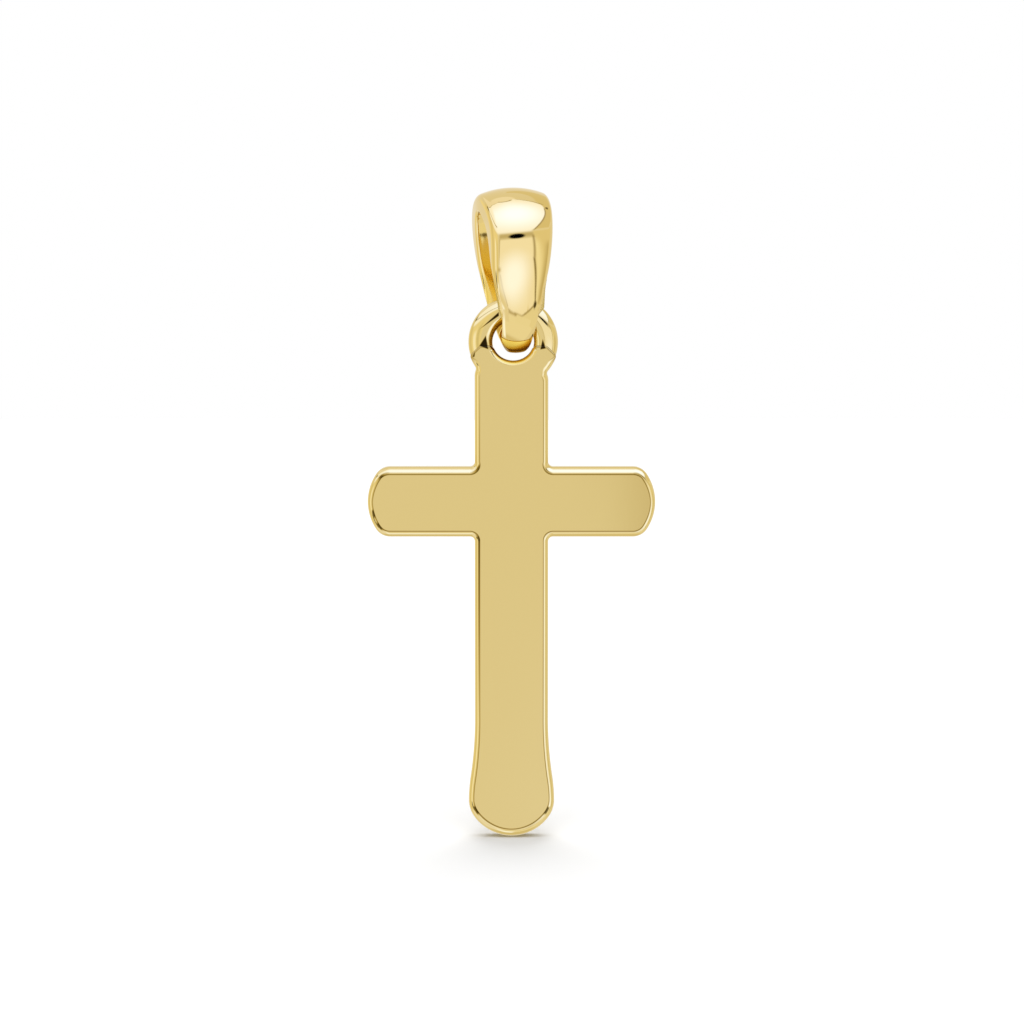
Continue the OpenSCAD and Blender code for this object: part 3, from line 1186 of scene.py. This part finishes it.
    def build(self) -> bpy.types.Object:
        """Makes plate and eye, joins them as one closed solid and marks its points.

        Returns:
            The whole cross.
        """
        (plate, painted_rows), eye = self._plate(), self._eye()
        mark_points(plate, Mark.NUMBER, np.arange(len(painted_rows)))
        join = plate.modifiers.new("cast", "BOOLEAN")
        join.operation, join.solver, join.object = "UNION", "EXACT", eye
        bpy.context.view_layer.update()
        cast = bpy.data.meshes.new_from_object(plate.evaluated_get(bpy.context.evaluated_depsgraph_get()))
        plate.modifiers.clear()
        plate.data = cast
        bpy.data.objects.remove(eye)
        cast.shade_smooth()
        cast.set_sharp_from_angle(angle=math.radians(self.sharp_angle))
        points = point_table(plate)
        dark = self._carried(points, take_marks(plate, Mark.NUMBER), painted_rows)
        # inside the bore: painted bounce gold, and a little painted shade as painted darkness
        from_eye = np.hypot(points[:, 0] - self.eye_x, points[:, 2] - self.eye_z)
        inside = 1.0 - smooth_step(from_eye, *(self.bore / 2.0 + out for out in self.inside_span))
        mark_points(plate, Mark.INSIDE, inside)
        mark_points(plate, Mark.PAINTED_DARK, np.maximum(dark, self.hole_dark * inside))
        return plate

    def _carried(self, points: np.ndarray, numbers: np.ndarray, painted_rows: np.ndarray) -> np.ndarray:
        """The plate's painted darkness on the joined solid, and 0 at the points that the union made.

        A point is the plate's own where it lies at the place of the plate's point of its number.

        Args:
            points: The solid's points.
            numbers: The number that each point brought through the union.
            painted_rows: Rows of x, y, z and painted darkness of the plate's points.

        Returns:
            One value a point.
        """
        rows = painted_rows[np.clip(np.rint(numbers).astype(int), 0, len(painted_rows) - 1)]
        away = np.linalg.norm(points - rows[:, :3], axis=1)
        return np.where(away < SAME_PLACE_MM, rows[:, 3], 0.0)

    def dress(self, obj: bpy.types.Object, finish: bpy.types.Material) -> None:
        """Gives the cross its finish and sets it on its body in place of the CAD solid.

        Args:
            obj: The cross.
            finish: Its material.
        """
        obj.data.materials.clear()
        obj.data.materials.append(finish)
        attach(obj, "cross")
        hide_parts("cross")


# The studio


@dataclass(frozen=True)
class Panel:
    """One soft-edged patch of the studio's surroundings, in degrees of azimuth and elevation.

    Azimuth 0 is towards the photographer and 90 to the right. Slant moves the middle's azimuth by
    so many degrees for each degree of height, and an oval patch has no corners.
    """

    name: str
    azimuth: float
    half_width: float
    elevation: float
    half_height: float
    edge: float
    colour: Colour
    slant: float = 0.0
    oval: float = 0.0

    def mask(self, board: NodeBoard, tree: bpy.types.NodeTree, *direction: object) -> bpy.types.NodeSocket:
        """Places the panel group for this patch.

        Args:
            board: The world's board.
            tree: The panel group.
            direction: The ray's azimuth and elevation.

        Returns:
            The patch's mask.
        """
        middle_and_size = (self.azimuth, self.half_width, self.elevation, self.half_height)
        values = (*direction, *middle_and_size, self.edge, self.slant, self.oval)
        made = board.group(tree, dict(zip(PANEL_KEYS, values)))
        made.label = self.name
        return made.outputs["Mask"]


def panel_group() -> bpy.types.NodeTree:
    """The mask of a soft-edged patch: half size less the distance from its middle, over the edge.

    An oval patch takes 1 less the distance as a share of the half sizes, times the half height.

    Returns:
        A group with the direction and the patch in, and Mask out.
    """
    tree, board, given, out = new_group("panel", dict.fromkeys(PANEL_KEYS, 0.0), ("Mask",))
    inputs = (given.outputs[key] for key in PANEL_KEYS)
    azimuth, elevation, middle_a, half_a, middle_e, half_e, edge, slant, oval = inputs
    rise = board.math("SUBTRACT", elevation, middle_e)
    turn = board.math("SUBTRACT", azimuth, middle_a)
    along = board.math("ABSOLUTE", board.math("SUBTRACT", turn, board.math("MULTIPLY", slant, rise)))
    runs = ((along, half_a), (board.math("ABSOLUTE", rise), half_e))
    sides = []
    for away, half in runs:
        inward = board.math("DIVIDE", board.math("SUBTRACT", half, away), edge)
        sides.append(board.remap(board.math("ADD", inward, 0.5, clamp=True), 0.0, 1.0))
    squares = [board.math("POWER", board.math("DIVIDE", away, half), 2.0) for away, half in runs]
    within = board.math("SUBTRACT", 1.0, board.math("SQRT", board.math("ADD", *squares)))
    depth = board.math("DIVIDE", board.math("MULTIPLY", within, half_e), edge)
    rounded = board.remap(board.math("ADD", depth, 0.5, clamp=True), 0.0, 1.0)
    boxed = board.math("MULTIPLY", *sides)
    change = board.math("MULTIPLY", oval, board.math("SUBTRACT", rounded, boxed))
    board.feed(out.inputs["Mask"], board.math("ADD", boxed, change))
    return tree


@dataclass(frozen=True)
class Studio:
    """The white surroundings and the floor. Sizes in millimetres, the grain in waves a metre."""

    panels: tuple[Panel, ...] = ()
    surround: Colour = (1.0, 1.0, 1.0)
    floor_gap: float = 0.05
    floor_half: float = 400.0
    floor_darker: Colour = (0.52, 0.52, 0.52)
    floor_lighter: Colour = (0.53, 0.53, 0.53)
    floor_grain: float = 40.0
    grain_detail: float = 2.0

    def _panel_light(self, board: NodeBoard) -> object:
        """The panels' light in a ray's direction, each mixed over the ones before it.

        Args:
            board: The world's board.

        Returns:
            The light's colour.
        """
        place = board.node("ShaderNodeTexCoord").outputs["Generated"]
        parts = board.node("ShaderNodeSeparateXYZ")
        board.feed(parts.inputs[0], place)
        x, y, z = parts.outputs
        azimuth = board.math("DEGREES", board.math("ARCTAN2", x, board.math("MULTIPLY", y, -1.0)))
        elevation = board.math("DEGREES", board.math("ARCSINE", z))
        colour: object = self.surround
        tree = panel_group()
        for panel in self.panels:
            colour = board.mix(panel.mask(board, tree, azimuth, elevation), colour, panel.colour)
        return colour

    def light_surroundings(self) -> None:
        """Makes the world: plain white for the camera and the floor, and the panels for the gold."""
        world = bpy.data.worlds.new("studio")
        world.use_nodes = True
        world.cycles.sampling_method = "NONE"
        board = NodeBoard(world.node_tree)
        colour = self._panel_light(board)
        seen = board.node("ShaderNodeLightPath")
        plain = board.math("MAXIMUM", seen.outputs["Is Camera Ray"], seen.outputs["Is Diffuse Ray"])
        light, white = board.node("ShaderNodeBackground"), board.node("ShaderNodeBackground")
        board.feed(light.inputs["Color"], colour)
        board.feed(white.inputs["Color"], (*self.surround, 1.0))
        choose = board.node("ShaderNodeMixShader")
        board.feed(choose.inputs["Fac"], plain)
        board.feed(choose.inputs[1], light.outputs["Background"])
        board.feed(choose.inputs[2], white.outputs["Background"])
        out = board.node("ShaderNodeOutputWorld")
        board.feed(out.inputs["Surface"], choose.outputs["Shader"])
        bpy.context.scene.world = world

    def _paper(self) -> bpy.types.Material:
        """The floor's matt, pale and slightly mottled material.

        Returns:
            The material.
        """
        paper, board, shader = new_material("paper")
        shader.inputs["Roughness"].default_value = 1.0
        shader.inputs["Specular IOR Level"].default_value = 0.0
        place = board.node("ShaderNodeTexCoord").outputs["Object"]
        grain = board.noise(place, self.floor_grain, self.grain_detail)
        board.feed(shader.inputs["Base Color"], board.mix(grain, self.floor_darker, self.floor_lighter))
        return paper

    def lay_floor(self, tip_z: float) -> bpy.types.Object:
        """Makes the pale floor just under the cross.

        Args:
            tip_z: Height of the foot's tip in millimetres.

        Returns:
            The floor, marked as stage.
        """
        half, z = self.floor_half, tip_z - self.floor_gap
        points = np.array([[-half, -half, z], [half, -half, z], [half, half, z], [-half, half, z]])
        floor = mesh_object("floor", points, [[0, 1, 2, 3]])
        floor.data.materials.append(self._paper())
        floor.visible_glossy = False
        return floor


def facing(azimuth: float, elevation: float) -> Vector:
    """The unit vector towards an azimuth and elevation in degrees."""
    a, e = math.radians(azimuth), math.radians(elevation)
    return Vector((math.sin(a) * math.cos(e), -math.cos(a) * math.cos(e), math.sin(e)))


def add_facing(name: str, data: bpy.types.ID, azimuth: float, elevation: float) -> bpy.types.Object:
    """Adds a lamp or camera that stands in the given direction and looks back at the origin.

    Args:
        name: The object's name.
        data: Its lamp or camera data.
        azimuth: Direction it stands in, in degrees, 0 towards the photographer.
        elevation: Its height in degrees.

    Returns:
        The object, turned but not yet moved from the origin.
    """
    made = bpy.data.objects.new(name, data)
    made.rotation_euler = facing(azimuth, elevation).to_track_quat("Z", "Y").to_euler()
    bpy.context.scene.collection.objects.link(made)
    return made


@dataclass(frozen=True)
class Lamp:
    """A distant soft lamp that lights the floor and leaves no glint on the gold.

    It stands at an azimuth and elevation in degrees, is spread degrees wide, and its strength is in
    watts a square metre.
    """

    name: str
    azimuth: float
    elevation: float
    spread: float
    strength: float

    def hang(self) -> None:
        """Adds the lamp to the scene."""
        data = bpy.data.lights.new(self.name, "SUN")
        data.energy, data.angle = self.strength, math.radians(self.spread)
        add_facing(self.name, data, self.azimuth, self.elevation).visible_glossy = False


@dataclass(frozen=True)
class Viewpoint:
    """The camera, straight in front and slightly above. Sizes in millimetres and degrees."""

    distance: float = 110.0
    elevation: float = 4.5
    frame_width: float = 42.667
    aim_x: float = 0.02
    aim_z: float = -12.604
    sensor: float = 36.0
    nearest_m: float = 0.001
    farthest_m: float = 10.0

    def place(self) -> bpy.types.Object:
        """Makes the scene's camera.

        Returns:
            The camera.
        """
        data = bpy.data.cameras.new("camera")
        data.sensor_width = self.sensor
        data.lens = self.sensor * self.distance / self.frame_width
        data.clip_start, data.clip_end = self.nearest_m, self.farthest_m
        camera = add_facing("camera", data, 0.0, self.elevation)
        aim, back = Vector((self.aim_x, 0.0, self.aim_z)), facing(0.0, self.elevation)
        camera.location = (aim + back * self.distance) * MM
        bpy.context.scene.camera = camera
        return camera


PANELS = (
    Panel("left side", -70.0, 62.0, -12.0, 32.0, 12.0, (1.13, 1.09, 0.86)),
    Panel("left far", -85.0, 18.0, -5.0, 40.0, 14.0, (0.97, 0.92, 0.7)),
    Panel("left strip", -42.0, 9.0, -9.0, 18.0, 8.0, (1.3, 1.38, 1.7)),
    Panel("left near", -22.0, 6.0, -6.0, 16.0, 8.0, (0.9, 0.87, 0.66)),
    Panel("low ground", 0.0, 400.0, -80.0, 18.0, 8.0, (0.9, 0.86, 0.7)),
    Panel("crown glow", 0.0, 400.0, 88.0, 9.0, 3.0, (1.16, 1.19, 1.38)),
    Panel("top softbox", 9.0, 89.0, 51.0, 31.0, 5.0, (1.33, 1.48, 2.2)),
    Panel("top softbox core", 28.0, 44.0, 50.0, 21.0, 36.0, (1.45, 1.9, 4.1), 0.0, 1.0),
    Panel("top left cut", -78.5, 30.0, 62.0, 22.0, 4.0, (1.14, 1.16, 1.34), 1.24),
    Panel("right upper", 119.0, 40.0, 41.0, 20.0, 4.0, (0.93, 0.88, 0.67), 1.55),
    Panel("right lower", 66.0, 21.0, -9.0, 30.0, 6.0, (1.0, 0.96, 0.76)),
    Panel("right shade", 67.0, 5.0, -12.0, 18.0, 9.0, (0.74, 0.68, 0.47)),
    Panel("right border", 69.3, 1.5, 35.0, 14.0, 3.0, (0.5, 0.44, 0.28), 1.55),
    Panel("top border right", 98.5, 1.5, 66.0, 13.0, 3.0, (0.5, 0.44, 0.28), -0.4),
    Panel("right border end", 97.0, 4.0, 47.0, 2.0, 2.0, (0.2, 0.16, 0.08), 0.0, 1.0),
    Panel("left border", -45.0, 42.0, 29.0, 1.0, 2.5, (0.5, 0.45, 0.3)),
    Panel("left border end", -84.0, 7.0, 31.0, 4.0, 3.0, (0.1, 0.08, 0.03), 0.0, 1.0),
    Panel("top border", 26.0, 60.0, 82.5, 0.8, 2.0, (0.5, 0.42, 0.25)),
    Panel("top border left", -52.0, 1.5, 60.0, 20.0, 3.0, (0.55, 0.48, 0.3), 1.2),
    Panel("gap", 24.5, 21.5, 16.2, 2.6, 4.0, (0.74, 0.7, 0.56)),
    Panel("oval", 24.8, 10.0, 15.2, 2.9, 1.6, (0.0, 0.0, 0.0), 0.0, 1.0),
    Panel("leg line", 3.6, 0.8, -8.0, 21.0, 2.0, (0.74, 0.68, 0.5)),
    Panel("low field", 30.0, 45.0, -52.0, 10.0, 7.0, (1.11, 1.13, 1.13)),
    Panel("low left field", -48.0, 42.0, -49.0, 17.0, 8.0, (1.14, 1.18, 1.4)),
    Panel("low softbox", 26.2, 21.8, -15.2, 27.2, 2.5, (1.22, 1.27, 1.5)),
    Panel("low left cut", 3.0, 10.0, -32.0, 17.0, 2.0, (1.04, 1.04, 1.02), -0.5),
    Panel("low right add", 48.1, 6.0, -23.0, 16.0, 2.0, (1.2, 1.24, 1.45), -0.54),
    Panel("right glow", 55.0, 4.0, -14.0, 24.0, 12.0, (1.22, 1.26, 1.25), -0.3),
    Panel("low left line", 11.9, 0.9, -29.5, 11.5, 2.0, (0.64, 0.57, 0.4), -0.5),
    Panel("low softbox core", 24.0, 17.0, -20.0, 15.0, 22.0, (1.4, 1.66, 2.9), 0.0, 1.0),
    Panel("low border", 27.0, 9.0, -42.5, 0.7, 2.0, (0.62, 0.56, 0.4)),
    Panel("low border middle", 38.0, 7.0, -42.2, 0.7, 2.0, (0.62, 0.56, 0.4)),
    Panel("low right cut", 69.5, 20.0, -38.0, 8.0, 1.5, (1.06, 1.06, 0.98), 1.5),
    Panel("low foot cut", 48.0, 13.0, -44.7, 2.6, 1.5, (1.1, 1.12, 1.1)),
    Panel("low border right", 51.0, 1.3, -36.6, 5.0, 2.5, (0.55, 0.49, 0.32), 1.5),
    Panel("right border high", 46.8, 1.1, 4.0, 11.0, 4.0, (0.45, 0.39, 0.24), -0.12),
    Panel("right border low", 53.5, 1.2, -19.0, 12.5, 3.0, (0.3, 0.25, 0.13), -0.48),
    Panel("right border foot", 60.0, 3.5, -31.5, 2.2, 2.0, (0.1, 0.08, 0.03), 0.0, 1.0),
    Panel("foot glow", -9.0, 12.0, -57.0, 11.0, 8.0, (1.36, 1.58, 2.5)),
    Panel("low left glow", -17.0, 10.0, -31.0, 6.0, 4.0, (1.34, 1.52, 2.3)),
    Panel("low middle line", -2.0, 9.0, -15.0, 1.3, 4.0, (0.74, 0.68, 0.5)),
    Panel("left spot", -45.0, 8.0, -22.0, 8.0, 3.0, (0.04, 0.03, 0.015), 0.0, 1.0),
)

# Painted black triangles where the eye meets the face, standing in for shade and dark reflections.
EYE_PAINTED_TRIANGLES = (
    PaintedDark((-1.33, -5.69), (-1.06, -5.27), (-0.96, -5.82), 0.05),
    PaintedDark((1.19, -5.83), (1.29, -5.42), (1.41, -5.79), 0.05),
    PaintedDark((-1.61, -6.15), (-1.5, -5.88), (-1.53, -6.13), 0.05),
    PaintedDark((1.63, -5.86), (1.7, -6.09), (1.74, -6.06), 0.05),
    PaintedDark((-1.25, -4.95), (-0.53, -4.3), (-0.52, -4.45), 0.04),
)
LAMPS = (Lamp("back_lamp", 180.0, 58.0, 50.0, 2.4), Lamp("front_lamp", 0.0, 58.0, 50.0, 1.9))
BAIL_GOLD = GoldFinish(
    name="mirror_gold",
    gold=(0.74, 0.565, 0.23),
    deep=(0.9, 0.66, 0.13),
    shade=(0.6, 0.38, 0.06),
    painted_black=(0.02, 0.012, 0.003),
    roughness=0.03,
    haze=0.02,
    bump=0.0004,
    ripple=1.0,
    satin=0.22,
)
CROSS_GOLD = GoldFinish(
    name="buffed_gold",
    gold=(0.72, 0.56, 0.23),
    deep=(0.72, 0.47, 0.08),
    shade=(0.6, 0.38, 0.06),
    painted_black=(0.02, 0.012, 0.003),
    roughness=0.06,
    haze=0.03,
    bump=0.0004,
    ripple=0.0,
    satin=0.0,
    painted_triangles=EYE_PAINTED_TRIANGLES,
)


def main() -> None:
    """Loads the frame, builds each piece in order and sets up the studio."""
    logging.basicConfig(level=logging.INFO, format="%(name)s: %(message)s")
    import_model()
    scene = bpy.context.scene
    scene.view_settings.view_transform = "Standard"
    effects = Effects.built()
    bail, cross = Bail(), Cross()
    for maker, finish in ((bail, BAIL_GOLD), (cross, CROSS_GOLD)):
        piece = maker.build()
        maker.dress(piece, finish.build(effects))
        LOG.info("%s: %d points, %d faces", piece.name, len(piece.data.vertices), len(piece.data.polygons))
    studio = Studio(panels=PANELS)
    studio.light_surroundings()
    studio.lay_floor(cross.foot_z)
    for lamp in LAMPS:
        lamp.hang()
    Viewpoint().place()


if __name__ == "__main__":
    main()
